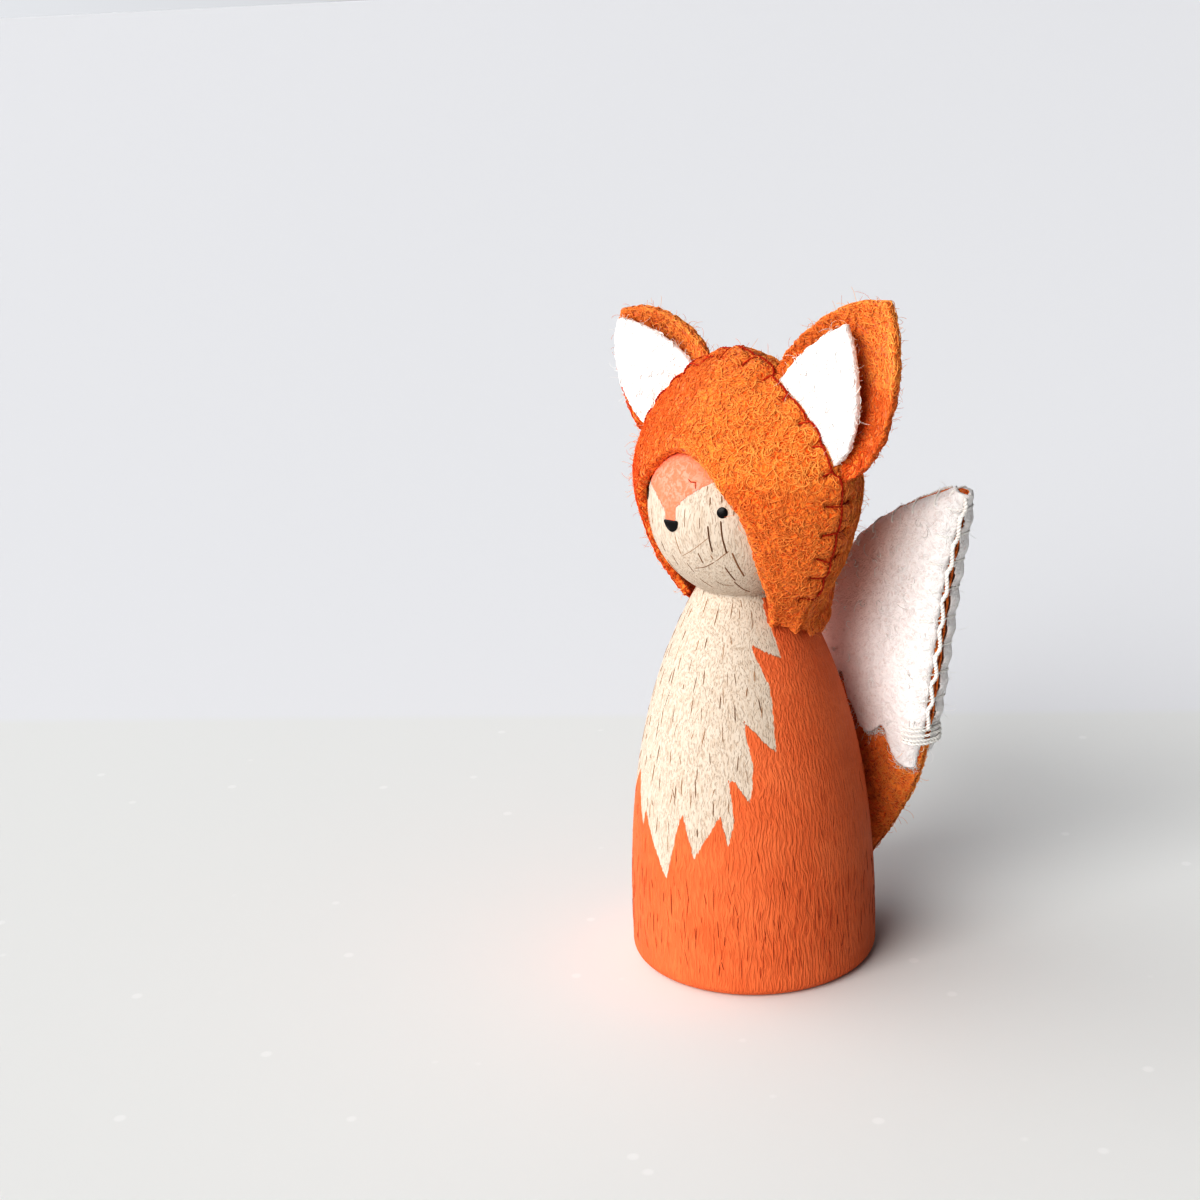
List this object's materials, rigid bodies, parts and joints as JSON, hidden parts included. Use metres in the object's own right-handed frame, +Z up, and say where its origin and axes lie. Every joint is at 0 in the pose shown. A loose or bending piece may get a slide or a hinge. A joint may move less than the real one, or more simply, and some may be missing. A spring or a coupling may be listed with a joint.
{
  "type": "peg doll",
  "caption": "Turned wooden peg doll with a painted fox face and bib, a sewn felt hood with ears that turns on the ball head, and a stuffed felt tail.",
  "frame": {"origin": "centre of the peg's flat base, where the doll stands", "axes": "+Z up along the peg's axis, the face towards -Y, the doll's own left towards +X, the tail towards +Y"},
  "size_m": [0.0536, 0.0402, 0.0955],
  "materials": {
    "painted_beech": "raised grain under a thin matt orange paint, bare beech at the face and bib",
    "orange_felt": "pressed wool felt, fuzzy",
    "white_felt": "pressed wool felt, fuzzy",
    "stuffing": "loose wadding"
  },
  "bodies": {
    "peg": {"peg_body": "painted_beech", "tail_front_felt": "orange_felt", "tail_back_felt": "orange_felt", "tail_stuffing": "stuffing", "tail_tip_front": "white_felt", "tail_tip_back": "white_felt"},
    "hood": {"hood_front_panel": "orange_felt", "hood_back_panel": "orange_felt", "ear_left_outer": "orange_felt", "ear_left_inner": "white_felt", "ear_right_outer": "orange_felt", "ear_right_inner": "white_felt"}
  },
  "joints": [
    {"name": "hood_turn", "type": "hinge", "parent": "peg", "child": "hood", "pos_m": [0, 0, 0.06589], "axis": [0, 0, 1], "range_deg": [-40, 40]}
  ]
}
